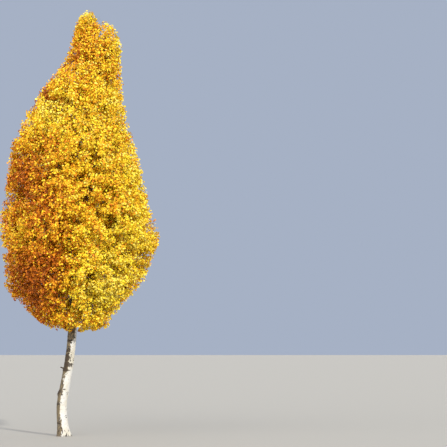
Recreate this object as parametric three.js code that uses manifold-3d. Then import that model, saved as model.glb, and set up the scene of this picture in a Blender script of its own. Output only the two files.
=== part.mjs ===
// A poplar tree in autumn leaf, with one pale trunk, its boughs and its masses of gold foliage.
// Millimetres, +Z up. The origin is the middle of the flat cut under the trunk, at ground level.
// +X is the side with the higher shoulder of the crown, and -Y is the front.
import * as THREE from "three";
import { mergeVertices } from "three/addons/utils/BufferGeometryUtils.js";
import Module from "manifold-3d";

const wasm = await Module();
wasm.setup();

// Driving dimensions of the whole tree
const TREE_HEIGHT = 11000;
const TRUNK_TOP = 9500;
const TRUNK_RADIUS = 132;
const TAPER_POWER = 0.75;

// Clear space between touching limbs, and between a mass's space and its neighbours'
const CLEARANCE = 0.3;
const MASS_GAP = 6;

// How far joining may move a surface, and the shortest edge that it may leave
const SIMPLIFY = 0.05;
const LEAST_EDGE = 0.03;

// The trunk's middle line: height, then its offset to the right and to the back
const TRUNK_LINE = [
  [0, 0, 0],
  [450, -56, 8],
  [800, -72, 14],
  [1130, -18, 10],
  [1750, 82, -4],
  [2450, 150, -16],
  [5200, 206, 24],
  [7500, 222, -18],
  [9900, 344, 10],
  [11000, 394, 10],
];

// The crown's outline from the trunk's middle line: height, then its reach to the left and to the right
const CROWN_OUTLINE = [
  [2620, 240, 560],
  [2760, 700, 950],
  [3080, 1140, 1090],
  [3400, 1490, 1320],
  [3780, 1770, 1720],
  [4350, 1800, 1910],
  [5040, 1925, 2140],
  [6200, 1865, 1800],
  [7000, 1763, 1600],
  [7790, 1540, 1315],
  [8590, 1185, 1110],
  [9120, 812, 1000],
  [9660, 460, 940],
  [10200, 320, 880],
  [10620, 280, 660],
  [11000, 150, 170],
];
const CROWN_DEPTH_SHARE = 0.96;

// Root flare: how far it stands out, how soon it dies away, and its ribs
const FLARE = 46;
const FLARE_HEIGHT = 190;
const FLARE_RIBS = 5;
const RIB_DEPTH = 16;
const TRUNK_SIDES = 12;
const TRUNK_RINGS = 23;

// Dead stubs on the trunk: height, compass angle from +X, how far each stands out of the bark, and its
// radius at the bark and at its end
const STUBS = [
  [1050, 172, 34, 62, 30],
  [1640, 186, 78, 22, 15],
];

// Tiers of foliage masses, lowest first. Height is that of the masses' middles, turn is the compass
// angle of the first one from +X, and climb is how far a bough rises from the trunk to its tip.
// A tier with no climb grows straight from the trunk.
const TIERS = [
  { name: "skirt", height: 3480, count: 5, turn: -38, climb: 330 },
  { name: "lower", height: 4420, count: 5, turn: 2, climb: 620 },
  { name: "middle", height: 5430, count: 5, turn: -34, climb: 760 },
  { name: "upper", height: 6480, count: 5, turn: 34, climb: 820 },
  { name: "shoulder", height: 7560, count: 4, turn: 48, climb: 800 },
  { name: "neck", height: 8720, count: 3, turn: 175, climb: 0 },
];
const CENTRE_SHARE = 0.6;
const TIP_SHARE = 0.36;
const TIP_DROP = 0.22;
const HEIGHT_JITTER = 130;
const TURN_JITTER = 7;

// The second leader: a steep bough that makes the crown's right-hand peak
const LEADER = { from: 4850, knee: [680, -150, 6300], tip: [840, -60, 8700], radius: 44 };
const LEFT_PEAK = { base: 9500, centre: [370, 10, 10180] };
const RIGHT_PEAK = { centre: [950, -40, 9720] };

// Boughs
const BOUGH_SHARE = 0.385;
const BOUGH_TIP_RADIUS = 18;
const BOUGH_SIDES = 5;
const BOUGH_RINGS = 3;
const BOUGH_GAP = 14;
const START_SHIFTS = [0, -130, 130, -260, 260, -390];

// Foliage. Each leaf stands for a whole spray of the real tree's small leaves. The leans of a mass's
// twigs are cosines, from the first twig to the last.
const MASS_RADIUS = 980;
const MASS_FLATNESS = 0.95;
const STEM_RADIUS = 20;
const STEM_END_RADIUS = 16;
const STEM_RINGS = 2;
const TWIG_RADIUS = 8;
const TWIG_END_RADIUS = 7;
const TWIGS = 8;
const PEAK_TWIGS = 13;
const PEAK_SCALE = 0.74;
const TWIG_LEANS = [-0.75, 0.9];
const SIDE_REACH = 36;
const GOLDEN_ANGLE = 137.508;
const LEAF_LENGTH = 540;
const LEAF_WIDTH = 520;
const LEAF_THICKNESS = 15;
const LEAF_WAIST = 0.45;
const LEAF_TILT = 60;
const LEAF_STEP = 85;
const LEAF_TRIES = 9;
const LEAF_SHRINK = 0.45;

const UP = new THREE.Vector3(0, 0, 1);
const RIGHT = new THREE.Vector3(1, 0, 0);
const radians = THREE.MathUtils.degToRad;

// A small seeded generator of numbers from 0 to 1
function randomFrom(seed) {
  let state = Math.imul(seed + 1, 2654435761) >>> 0;
  return () => {
    state = (Math.imul(state, 1664525) + 1013904223) >>> 0;
    return state / 4294967296;
  };
}

// A smooth value at height z through rows of [height, value, value], read from one column
function through(rows, column, z) {
  const last = rows.length - 1;
  if (z <= rows[0][0]) return rows[0][column];
  if (z >= rows[last][0]) return rows[last][column];
  const i = rows.findIndex((row) => row[0] > z) - 1;
  const slope = (a, b) => (rows[b][column] - rows[a][column]) / (rows[b][0] - rows[a][0]);
  const start = i > 0 ? slope(i - 1, i + 1) : slope(0, 1);
  const end = i < last - 1 ? slope(i, i + 2) : slope(last - 1, last);
  const span = rows[i + 1][0] - rows[i][0];
  const t = (z - rows[i][0]) / span;
  const [t2, t3] = [t * t, t * t * t];
  return (
    (2 * t3 - 3 * t2 + 1) * rows[i][column] +
    (t3 - 2 * t2 + t) * span * start +
    (3 * t2 - 2 * t3) * rows[i + 1][column] +
    (t3 - t2) * span * end
  );
}

const trunkAxis = (z) =>
  new THREE.Vector3(through(TRUNK_LINE, 1, z), through(TRUNK_LINE, 2, z), z);

const trunkRadius = (z) => TRUNK_RADIUS * (1 - z / TREE_HEIGHT) ** TAPER_POWER;

// The trunk's radius towards one side, with the ribs of the root flare near the ground
function flaredRadius(z, angle) {
  const spread = Math.exp(-z / FLARE_HEIGHT);
  return trunkRadius(z) + spread * (FLARE + RIB_DEPTH * Math.cos(FLARE_RIBS * angle));
}

// How far the crown reaches from the trunk's middle line at a height, towards a compass angle
function crownReach(z, angle) {
  const left = through(CROWN_OUTLINE, 1, z);
  const right = through(CROWN_OUTLINE, 2, z);
  const side = Math.cos(angle) < 0 ? left : right;
  const depth = (CROWN_DEPTH_SHARE * (left + right)) / 2;
  return 1 / Math.hypot(Math.cos(angle) / side, Math.sin(angle) / depth);
}

function solidOf(geometry) {
  const bare = geometry.index ? geometry.toNonIndexed() : geometry.clone();
  bare.deleteAttribute("normal");
  bare.deleteAttribute("uv");
  const merged = mergeVertices(bare, 1e-2);
  return new wasm.Manifold(
    new wasm.Mesh({
      numProp: 3,
      vertProperties: merged.attributes.position.array,
      triVerts: new Uint32Array(merged.index.array),
    }),
  );
}

function geometryOf(solid) {
  const mesh = solid.getMesh();
  return new THREE.BufferGeometry()
    .setAttribute("position", new THREE.BufferAttribute(mesh.vertProperties, 3))
    .setIndex(new THREE.BufferAttribute(mesh.triVerts, 1))
    .toNonIndexed();
}

// True where no edge of a solid is too short to stay distinct
function soundEdges(solid) {
  const { vertProperties: places, triVerts } = solid.getMesh();
  const corner = (i) => places.subarray(3 * triVerts[i], 3 * triVerts[i] + 3);
  for (let i = 0; i < triVerts.length; i++) {
    const [a, b] = [corner(i), corner(i % 3 === 2 ? i - 2 : i + 1)];
    if (Math.hypot(a[0] - b[0], a[1] - b[1], a[2] - b[2]) < LEAST_EDGE) return false;
  }
  return true;
}

// Only the largest piece of a solid
function oneBody(solid) {
  return solid.decompose().reduce((a, b) => (b.volume() > a.volume() ? b : a));
}

// The trunk: a cylinder whose level rings are moved on to the middle line. Grow makes it thicker.
function trunkGeometry(grow = 0) {
  const geometry = new THREE.CylinderGeometry(1, 1, 1, TRUNK_SIDES, TRUNK_RINGS);
  const places = geometry.attributes.position;
  for (let i = 0; i < places.count; i++) {
    const climb = (places.getY(i) + 0.5) ** 1.5;
    const height = climb * (TRUNK_TOP + grow);
    const [x, y] = [places.getZ(i), places.getX(i)];
    const radius = Math.hypot(x, y) * (flaredRadius(height, Math.atan2(y, x)) + grow);
    const middle = trunkAxis(height);
    const angle = Math.atan2(y, x);
    places.setXYZ(
      i,
      middle.x + radius * Math.cos(angle),
      middle.y + radius * Math.sin(angle),
      height,
    );
  }
  return geometry;
}

// Three directions at right angles: along a limb, to its side and over it. Bend is square to the
// plane that the limb bends in, so its sides stay untwisted.
function frameOf(along, bend) {
  const helper = bend ?? (Math.abs(along.z) < 0.9 ? UP : RIGHT);
  const side = new THREE.Vector3().crossVectors(along, helper).normalize();
  const over = new THREE.Vector3().crossVectors(along, side);
  return { along, side, over };
}

// The dead stubs, from inside the trunk out through its bark
const stubSolids = () =>
  STUBS.map(([height, turn, out, startRadius, endRadius]) => {
    const from = trunkAxis(height);
    const level = new THREE.Vector3(Math.cos(radians(turn)), Math.sin(radians(turn)), 0.25);
    const length = flaredRadius(height, radians(turn)) + out;
    const to = from.clone().addScaledVector(level.normalize(), length);
    return solidOf(limbGeometry(new THREE.LineCurve3(from, to), startRadius, endRadius, 6, 1));
  });

// A unit vector that leans away from a frame's direction by an angle, turned round it by another
const leaning = ({ along, side, over }, lean, turn) =>
  along
    .clone()
    .multiplyScalar(Math.cos(lean))
    .addScaledVector(side, Math.sin(lean) * Math.cos(turn))
    .addScaledVector(over, Math.sin(lean) * Math.sin(turn));

// Square to the plane that a curve bends in, or nothing for a straight one
function bendOf(curve) {
  const bend = new THREE.Vector3().crossVectors(curve.getTangent(0), curve.getTangent(1));
  return bend.length() < 1e-6 ? undefined : bend;
}

// The place and frame on the straight pieces that a limb's rings divide its curve into
function placeOn(curve, rings, share) {
  const ring = Math.min(rings - 1, Math.floor(share * rings));
  const [a, b] = [curve.getPoint(ring / rings), curve.getPoint((ring + 1) / rings)];
  const along = b.clone().sub(a).normalize();
  return { place: a.lerp(b, share * rings - ring), frame: frameOf(along, bendOf(curve)) };
}

// A limb that tapers along a curve, from one radius to another. A three-sided one has its flat sides
// at the turns 60, 180 and 300 degrees.
function limbGeometry(curve, startRadius, endRadius, sides, rings) {
  const geometry = new THREE.CylinderGeometry(1, 1, 1, sides, rings);
  const places = geometry.attributes.position;
  const bend = bendOf(curve);
  for (let i = 0; i < places.count; i++) {
    const share = Math.round((places.getY(i) + 0.5) * rings) / rings;
    const radius = THREE.MathUtils.lerp(startRadius, endRadius, share);
    const { side, over } = frameOf(curve.getTangent(share), bend);
    const place = curve
      .getPoint(share)
      .addScaledVector(over, places.getX(i) * radius)
      .addScaledVector(side, places.getZ(i) * radius);
    places.setXYZ(i, place.x, place.y, place.z);
  }
  return geometry;
}

// A leaf: a kite folded along its middle, with its stalk end at a point. It runs along one direction
// and faces another. Its four corners are those of a tetrahedron.
function leafGeometry(stalk, along, facing, size) {
  const geometry = new THREE.TetrahedronGeometry(Math.sqrt(3), 0).rotateZ(Math.PI / 4);
  const places = geometry.attributes.position;
  const across = new THREE.Vector3().crossVectors(along, facing).normalize();
  const normal = new THREE.Vector3().crossVectors(across, along);
  for (let i = 0; i < places.count; i++) {
    const side = places.getZ(i) > 0;
    const y = side ? LEAF_WAIST : (places.getY(i) > 0 ? 1 : 0);
    const x = side ? 0.5 * Math.sign(places.getX(i)) : 0;
    const fold = side ? LEAF_THICKNESS : 0;
    places.setXYZ(i, x * size * LEAF_WIDTH, y * size * LEAF_LENGTH, fold);
  }
  return geometry.applyMatrix4(
    new THREE.Matrix4().makeBasis(across, along, normal).setPosition(stalk),
  );
}

// The bough that carries one mass: from the trunk's middle line out and up to its tip
function boughTo(centre, angle, climb) {
  const reach = crownReach(centre.z, angle);
  const out = new THREE.Vector3(Math.cos(angle), Math.sin(angle), 0);
  const tip = trunkAxis(centre.z).addScaledVector(out, TIP_SHARE * reach);
  tip.z = centre.z - TIP_DROP * reach;
  const start = trunkAxis(tip.z - climb);
  const knee = start
    .clone()
    .lerp(tip, 0.55)
    .addScaledVector(out, 0.05 * reach)
    .addScaledVector(UP, -0.22 * climb);
  const radius = Math.max(BOUGH_TIP_RADIUS + 5, BOUGH_SHARE * trunkRadius(start.z));
  return { curve: new THREE.QuadraticBezierCurve3(start, knee, tip), radius };
}

// Points along a bough outside the trunk, each with the bough's radius there
function spine(bough) {
  const count = 30;
  return Array.from({ length: count + 1 }, (_, i) => ({
    place: bough.curve.getPoint(i / count),
    radius: THREE.MathUtils.lerp(bough.radius, BOUGH_TIP_RADIUS, i / count),
  })).filter(
    ({ place }) => place.distanceTo(trunkAxis(place.z)) > 0.8 * trunkRadius(place.z),
  );
}

const boughsPart = (a, b) =>
  spine(a).every((p) =>
    spine(b).every((q) => p.place.distanceTo(q.place) > p.radius + q.radius + BOUGH_GAP),
  );

// A bough that would touch an earlier one leaves the trunk a little lower or higher
function clearBough(centre, angle, climb, others) {
  for (const shift of START_SHIFTS) {
    const bough = boughTo(centre, angle, climb + shift);
    if (others.every((other) => boughsPart(bough, other))) return bough;
  }
  throw new Error("no room for a bough");
}

// The masses: where each one's middle is, and the bough or the trunk's point that its stem grows from
function planMasses() {
  const leader = {
    curve: new THREE.QuadraticBezierCurve3(
      trunkAxis(LEADER.from),
      new THREE.Vector3(...LEADER.knee),
      new THREE.Vector3(...LEADER.tip),
    ),
    radius: LEADER.radius,
  };
  const masses = [
    {
      name: "right_peak",
      centre: new THREE.Vector3(...RIGHT_PEAK.centre),
      bough: leader,
      root: leader.curve.getPoint(1),
      peak: true,
    },
    {
      name: "left_peak",
      centre: new THREE.Vector3(...LEFT_PEAK.centre),
      bough: null,
      root: trunkAxis(LEFT_PEAK.base),
      tall: true,
      peak: true,
    },
  ];
  TIERS.forEach((tier, t) => {
    for (let i = 0; i < tier.count; i++) {
      const random = randomFrom(100 * t + i);
      const angle = radians(
        tier.turn + (360 * i) / tier.count + TURN_JITTER * (2 * random() - 1),
      );
      const height = tier.height + HEIGHT_JITTER * (2 * random() - 1);
      const out = new THREE.Vector3(Math.cos(angle), Math.sin(angle), 0);
      const reach = CENTRE_SHARE * crownReach(height, angle);
      const centre = trunkAxis(height).addScaledVector(out, reach);
      const boughs = masses.flatMap((mass) => (mass.bough ? [mass.bough] : []));
      const bough = tier.climb ? clearBough(centre, angle, tier.climb, boughs) : null;
      const root = bough ? bough.curve.getPoint(1) : trunkAxis(height - 0.75 * reach);
      masses.push({ name: `${tier.name}_${i + 1}`, centre, bough, root });
    }
  });
  return masses;
}

// True where a point lies in a mass's own space: nearer its middle than any other's, inside its own
// round form, and inside the crown's outline
function inSpace(point, mass, masses) {
  const own = mass.centre.distanceToSquared(point);
  const rise = (point.z - mass.centre.z) / MASS_FLATNESS;
  const level = Math.hypot(point.x - mass.centre.x, point.y - mass.centre.y);
  if (Math.hypot(level, rise) > MASS_RADIUS) return false;
  const axis = trunkAxis(point.z);
  const [dx, dy] = [point.x - axis.x, point.y - axis.y];
  if (point.z < CROWN_OUTLINE[0][0] || point.z > TREE_HEIGHT) return false;
  if (Math.hypot(dx, dy) > crownReach(point.z, Math.atan2(dy, dx))) return false;
  return masses.every(
    (other) =>
      other === mass ||
      (other.centre.distanceToSquared(point) - own) / 2 >
        MASS_GAP * other.centre.distanceTo(mass.centre),
  );
}

// How far a straight line can run from a point before it leaves the mass's space
function roomAlong(start, direction, mass, masses, most) {
  const step = 30;
  let length = 0;
  const point = start.clone();
  while (length < most && inSpace(point.addScaledVector(direction, step), mass, masses))
    length += step;
  return length;
}

const cornersOf = (geometry) => {
  const places = geometry.attributes.position;
  return Array.from({ length: places.count }, (_, i) =>
    new THREE.Vector3().fromBufferAttribute(places, i),
  );
};

// The turn nearest to a wanted one that still leads out through a flat side of a three-sided stem
function throughSide(turn) {
  const side = 60 + 120 * Math.floor(turn / 120);
  return side + THREE.MathUtils.clamp(turn - side, -SIDE_REACH, SIDE_REACH);
}

// One mass of foliage: a stem from its root, twigs by a golden-angle rule, and leaves on the twigs
function growMass(mass, masses, limbs, index) {
  const random = randomFrom(5000 + 37 * index);
  const wobble = (amount) => amount * (2 * random() - 1);
  const inside = (point) => inSpace(point, mass, masses);
  const clear = (solid, others) => others.every((other) => solid.intersect(other).isEmpty());
  const entry = mass.bough
    ? mass.bough.curve.getTangent(1)
    : mass.centre.clone().sub(mass.root).normalize();
  const start = mass.root.clone().addScaledVector(entry, mass.bough ? CLEARANCE : 0);
  const outward = mass.centre.clone().sub(trunkAxis(mass.centre.z)).setZ(0).normalize();
  const heading = mass.tall ? UP.clone() : outward.clone().addScaledVector(UP, 0.5).normalize();
  const beyond = roomAlong(mass.centre, heading, mass, masses, MASS_RADIUS);
  const reach = Math.max(60, beyond - (mass.tall ? PEAK_SCALE : 0.7) * LEAF_LENGTH);
  const end = mass.centre.clone().addScaledVector(heading, reach);
  const knee = start.clone().addScaledVector(entry, 0.45 * start.distanceTo(end));
  const stem = new THREE.QuadraticBezierCurve3(start, knee, end);
  const wood = [solidOf(limbGeometry(stem, STEM_RADIUS, STEM_END_RADIUS, 3, STEM_RINGS))];
  const leaves = [];
  let fused = mass.bough ? wood[0] : oneBody(wood[0].subtract(limbs[0])).simplify(SIMPLIFY);

  const twigs = [];
  const twigCount = mass.peak ? PEAK_TWIGS : TWIGS;
  const scale = mass.peak ? PEAK_SCALE : 1;

  for (let i = 0; i < twigCount; i++) {
    const share = (i + 0.35) / twigCount;
    const { place: from, frame: branching } = placeOn(stem, STEM_RINGS, share);
    const lean = Math.acos(THREE.MathUtils.lerp(...TWIG_LEANS, share));
    const turn = throughSide(GOLDEN_ANGLE * (i + index) + wobble(14));
    const direction = leaning(branching, lean + radians(wobble(8)), radians(turn));
    const room = roomAlong(from, direction, mass, masses, 1.3 * MASS_RADIUS);
    const length = room - 0.45 * scale * LEAF_LENGTH;
    if (length < LEAF_STEP) continue;
    const twig = new THREE.LineCurve3(from, from.clone().addScaledVector(direction, length));
    const solid = solidOf(limbGeometry(twig, TWIG_RADIUS, TWIG_END_RADIUS, 3, 1));
    const joined = fused.add(solid).simplify(SIMPLIFY);
    if (!clear(solid, limbs) || !soundEdges(joined)) continue;
    fused = joined;
    wood.push(solid);
    twigs.push({ from, frame: frameOf(direction), length });
  }

  // A leaf is fused to its own twig only, so one that would touch another leaf or limb is made smaller,
  // or left out
  const addLeaf = (stalk, frame, lean, turn, own) => {
    const others = [...limbs, ...leaves, ...wood.filter((solid, i) => i !== own)];
    for (let n = 0; n < LEAF_TRIES; n++) {
      const size = scale * (1 - (LEAF_SHRINK * n) / LEAF_TRIES);
      const side = lean > 20 ? 120 * n : 0;
      const along = leaning(
        frame,
        radians(lean + wobble(0.25 * lean)),
        radians(turn + side + wobble(10)),
      );
      const facing = leaning(frameOf(along), radians(90), radians(360 * random()));
      const geometry = leafGeometry(stalk, along, facing, size);
      if (!cornersOf(geometry).every(inside)) continue;
      const solid = solidOf(geometry);
      if (!clear(solid, others)) continue;
      const joined = fused.add(solid).simplify(SIMPLIFY);
      if (!soundEdges(joined)) continue;
      fused = joined;
      leaves.push(solid);
      return;
    }
  };

  const last = placeOn(stem, STEM_RINGS, 0.995);
  addLeaf(last.place, last.frame, 0, 0, 0);

  // Leaves from the end of a twig back towards its root: one along it, and the others to its sides
  twigs.forEach(({ from, frame, length }, i) => {
    const end = from.clone().addScaledVector(frame.along, length - 0.4 * TWIG_END_RADIUS);
    addLeaf(end, frame, 8, 360 * random(), i + 1);
    for (let k = 1; k * LEAF_STEP < length - 20; k++) {
      const place = from.clone().addScaledVector(frame.along, length - (k - 0.4) * LEAF_STEP);
      addLeaf(place, frame, LEAF_TILT, 60 + 120 * k, i + 1);
    }
  });
  return oneBody(fused);
}

// Finishes
const bark = new THREE.MeshStandardMaterial({ color: 0xe6e0d0, roughness: 0.75 });
const boughBark = new THREE.MeshStandardMaterial({ color: 0xb9ad8c, roughness: 0.8 });
const leafTints = [0xf2b21c, 0xe8a01a, 0xd9861a].map(
  (color) => new THREE.MeshStandardMaterial({ color, roughness: 0.6 }),
);

function named(name, solid, material) {
  const mesh = new THREE.Mesh(geometryOf(solid), material);
  mesh.name = name;
  return mesh;
}

const poplar = new THREE.Group();
const trunk = wasm.Manifold.union([solidOf(trunkGeometry()), ...stubSolids()]).simplify(SIMPLIFY);
const trunkRoom = solidOf(trunkGeometry(1.2 * CLEARANCE));
poplar.add(named("trunk", trunk, bark));

const masses = planMasses();
const limbs = [trunkRoom];
for (const mass of masses) {
  if (!mass.bough) continue;
  const { curve, radius } = mass.bough;
  const geometry = limbGeometry(curve, radius, BOUGH_TIP_RADIUS, BOUGH_SIDES, BOUGH_RINGS);
  const solid = oneBody(solidOf(geometry).subtract(trunkRoom)).simplify(SIMPLIFY);
  limbs.push(solid);
  poplar.add(named(`bough_${mass.name}`, solid, boughBark));
}

masses.forEach((mass, index) => {
  const solid = growMass(mass, masses, limbs, index);
  const tint = leafTints[mass.centre.x > 900 ? 0 : mass.centre.x > -300 ? 1 : 2];
  poplar.add(named(`foliage_${mass.name}`, solid, tint));
});

export default poplar;
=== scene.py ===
"""The looks of a poplar tree in autumn leaf, built round its solids.

Metres, +Z up. The origin is the middle of the flat cut under the trunk, at ground level. +X is the
side with the higher shoulder of the crown, and -Y is the front.
"""

import itertools
import math

import bpy
import numpy as np
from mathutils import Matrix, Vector


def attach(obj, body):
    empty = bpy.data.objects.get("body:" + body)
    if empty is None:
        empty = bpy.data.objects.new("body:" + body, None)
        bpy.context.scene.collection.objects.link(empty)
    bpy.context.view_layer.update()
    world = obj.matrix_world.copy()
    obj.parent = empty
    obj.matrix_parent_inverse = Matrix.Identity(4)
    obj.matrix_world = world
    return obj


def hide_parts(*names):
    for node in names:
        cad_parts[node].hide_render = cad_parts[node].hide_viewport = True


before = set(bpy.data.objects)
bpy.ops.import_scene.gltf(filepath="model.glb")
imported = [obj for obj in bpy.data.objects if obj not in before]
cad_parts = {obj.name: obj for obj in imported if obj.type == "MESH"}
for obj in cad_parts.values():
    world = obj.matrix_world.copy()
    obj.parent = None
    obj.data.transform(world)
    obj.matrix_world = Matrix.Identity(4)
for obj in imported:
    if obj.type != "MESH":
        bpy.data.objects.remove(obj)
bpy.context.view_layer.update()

# The rule that the solids grow by, with the same driving dimensions
TREE_HEIGHT = 11.0
TRUNK_TOP = 9.5
TRUNK_RADIUS = 0.132
TAPER_POWER = 0.75
MASS_GAP = 0.006

# The trunk's middle line: height, then its offset to the right and to the back
TRUNK_LINE = np.array([
    (0.0, 0.0, 0.0),
    (0.45, -0.056, 0.008),
    (0.8, -0.072, 0.014),
    (1.13, -0.018, 0.01),
    (1.75, 0.082, -0.004),
    (2.45, 0.15, -0.016),
    (5.2, 0.206, 0.024),
    (7.5, 0.222, -0.018),
    (9.9, 0.344, 0.01),
    (11.0, 0.394, 0.01),
])

# The crown's outline: height, then its reach to the left and the right of the trunk's middle line
CROWN_OUTLINE = np.array([
    (2.62, 0.24, 0.56),
    (2.76, 0.7, 0.95),
    (3.08, 1.14, 1.09),
    (3.4, 1.49, 1.32),
    (3.78, 1.77, 1.72),
    (4.35, 1.8, 1.91),
    (5.04, 1.925, 2.14),
    (6.2, 1.865, 1.8),
    (7.0, 1.763, 1.6),
    (7.79, 1.54, 1.315),
    (8.59, 1.185, 1.11),
    (9.12, 0.812, 1.0),
    (9.66, 0.46, 0.94),
    (10.2, 0.32, 0.88),
    (10.62, 0.28, 0.66),
    (11.0, 0.15, 0.17),
])
CROWN_DEPTH_SHARE = 0.96

# Root flare: how far it stands out, how soon it dies away, and its ribs
FLARE = 0.046
FLARE_HEIGHT = 0.19
FLARE_RIBS = 5
RIB_DEPTH = 0.016

# Tiers of foliage masses: name, height, count, turn of the first and climb of its boughs
TIERS = [
    ("skirt", 3.48, 5, -38, 0.33),
    ("lower", 4.42, 5, 2, 0.62),
    ("middle", 5.43, 5, -34, 0.76),
    ("upper", 6.48, 5, 34, 0.82),
    ("shoulder", 7.56, 4, 48, 0.8),
    ("neck", 8.72, 3, 175, 0.0),
]
CENTRE_SHARE = 0.6
TIP_SHARE = 0.36
TIP_DROP = 0.22
HEIGHT_JITTER = 0.13
TURN_JITTER = 7
LEADER = {"from": 4.85, "knee": (0.68, -0.15, 6.3), "tip": (0.84, -0.06, 8.7), "radius": 0.044}
LEFT_PEAK = {"base": 9.5, "centre": (0.37, 0.01, 10.18)}
RIGHT_PEAK = {"centre": (0.95, -0.04, 9.72)}

# Boughs: their radius as a share of the trunk's, where their knees lie, and the gap between two
BOUGH_SHARE = 0.385
BOUGH_TIP_RADIUS = 0.018
KNEE_SHARE = 0.55
KNEE_OUT = 0.05
KNEE_DROP = 0.22
BOUGH_GAP = 0.014
START_SHIFTS = (0, -0.13, 0.13, -0.26, 0.26, -0.39)

# Masses of foliage, their stems and their first twigs
MASS_RADIUS = 0.98
MASS_FLATNESS = 0.95
TWIGS = 8
PEAK_TWIGS = 13
PEAK_SCALE = 0.74
TWIG_LEANS = (-0.75, 0.9)
SIDE_REACH = 36
GOLDEN_ANGLE = 137.508
SOLID_LEAF = 0.54
LEAST_STEM = 0.06
LEAST_TWIG = 0.085
TURN_WOBBLE = 14
LEAN_WOBBLE = 8
ROOM_STEP = 0.03

UP = np.array((0.0, 0.0, 1.0))
RIGHT = np.array((1.0, 0.0, 0.0))


class Draws:
    """The source's small seeded generator of numbers from 0 to 1."""

    def __init__(self, seed):
        self.state = (seed + 1) * 2654435761 % 2**32

    def next(self):
        self.state = (self.state * 1664525 + 1013904223) % 2**32
        return self.state / 2**32

    def wobble(self, amount):
        return amount * (2 * self.next() - 1)


def unit(vectors):
    """Vectors made one long."""
    return vectors / np.linalg.norm(vectors, axis=-1, keepdims=True)


def mix(a, b, share):
    """Values or points part of the way from a to b."""
    return a + (b - a) * share


def smooth(low, high, values):
    """0 at low and 1 at high, with a soft rise between them."""
    share = np.clip((values - low) / (high - low), 0, 1)
    return share * share * (3 - 2 * share)


def lumps(points, size, seed):
    """Smooth seeded noise from -1 to 1 at points, with lumps of one size in metres."""
    places = np.asarray(points) / size
    cells = np.floor(places).astype(np.int64)
    share = places - cells
    share = share * share * (3 - 2 * share)
    total = np.zeros(places.shape[:-1])
    for corner in itertools.product((0, 1), repeat=3):
        x, y, z = np.moveaxis(cells + corner, -1, 0)
        code = (x * 374761393 + y * 668265263 + z * 2147483629 + seed * 974634541) & 0xFFFFFFFF
        code = ((code ^ (code >> 13)) * 1274126177) & 0xFFFFFFFF
        code = code ^ (code >> 16)
        weight = np.prod(np.where(corner, share, 1 - share), axis=-1)
        total += weight * (code / 2**32)
    return 2 * total - 1


def through(rows, column, z):
    """A smooth value at height z through rows of (height, value, value), read from one column."""
    heights, values = rows[:, 0], rows[:, column]
    slopes = np.empty(len(rows))
    slopes[1:-1] = (values[2:] - values[:-2]) / (heights[2:] - heights[:-2])
    slopes[0] = (values[1] - values[0]) / (heights[1] - heights[0])
    slopes[-1] = (values[-1] - values[-2]) / (heights[-1] - heights[-2])
    z = np.clip(z, heights[0], heights[-1])
    i = np.clip(np.searchsorted(heights, z, side="right") - 1, 0, len(rows) - 2)
    span = heights[i + 1] - heights[i]
    t = (z - heights[i]) / span
    return (
        (2 * t**3 - 3 * t**2 + 1) * values[i]
        + (t**3 - 2 * t**2 + t) * span * slopes[i]
        + (3 * t**2 - 2 * t**3) * values[i + 1]
        + (t**3 - t**2) * span * slopes[i + 1]
    )


def trunk_axis(z):
    """The trunk's middle line at heights z."""
    z = np.asarray(z, float)
    return np.stack([through(TRUNK_LINE, 1, z), through(TRUNK_LINE, 2, z), z], axis=-1)


def trunk_radius(z):
    return TRUNK_RADIUS * (1 - z / TREE_HEIGHT) ** TAPER_POWER


def flared_radius(z, angle):
    """The trunk's radius towards one side, with the ribs of the root flare near the ground."""
    spread = np.exp(-z / FLARE_HEIGHT)
    return trunk_radius(z) + spread * (FLARE + RIB_DEPTH * np.cos(FLARE_RIBS * angle))


def crown_reach(z, angle):
    """How far the crown reaches from the trunk's middle line at a height, towards a side."""
    left, right = through(CROWN_OUTLINE, 1, z), through(CROWN_OUTLINE, 2, z)
    side = np.where(np.cos(angle) < 0, left, right)
    depth = CROWN_DEPTH_SHARE * (left + right) / 2
    return 1 / np.hypot(np.cos(angle) / side, np.sin(angle) / depth)


class Bend:
    """A curve from one point to another, drawn towards a knee between them."""

    def __init__(self, start, knee, end):
        self.start, self.knee, self.end = (np.asarray(p, float) for p in (start, knee, end))

    def at(self, share):
        t = np.asarray(share, float)[..., None]
        return (1 - t) ** 2 * self.start + 2 * t * (1 - t) * self.knee + t**2 * self.end

    def along(self, share):
        t = np.asarray(share, float)[..., None]
        return unit((1 - t) * (self.knee - self.start) + t * (self.end - self.knee))

    def square(self):
        """Square to the plane that it bends in, or nothing for a straight one."""
        square = np.cross(self.along(0), self.along(1))
        return square if np.linalg.norm(square) > 1e-6 else None


def frame_of(along, square=None):
    """Three directions at right angles: along a limb, to its side and over it."""
    if square is None:
        square = np.where(np.abs(along[..., 2:3]) < 0.9, UP, RIGHT)
    side = unit(np.cross(along, square))
    return along, side, np.cross(along, side)


def leaning(directions, lean, turn):
    """A direction that leans away from a frame's own by an angle, turned round it by another."""
    along, side, over = directions
    lean, turn = np.asarray(lean)[..., None], np.asarray(turn)[..., None]
    return (
        along * np.cos(lean)
        + side * np.sin(lean) * np.cos(turn)
        + over * np.sin(lean) * np.sin(turn)
    )


def bough_to(centre, angle, climb):
    """The bough that carries one mass: from the trunk's middle line out and up to its tip."""
    reach = crown_reach(centre[2], angle)
    out = np.array((math.cos(angle), math.sin(angle), 0.0))
    tip = trunk_axis(centre[2]) + out * TIP_SHARE * reach
    tip[2] = centre[2] - TIP_DROP * reach
    start = trunk_axis(tip[2] - climb)
    knee = mix(start, tip, KNEE_SHARE) + out * KNEE_OUT * reach - UP * KNEE_DROP * climb
    radius = max(BOUGH_TIP_RADIUS + 0.005, BOUGH_SHARE * trunk_radius(start[2]))
    return {"curve": Bend(start, knee, tip), "radius": radius}


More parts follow.
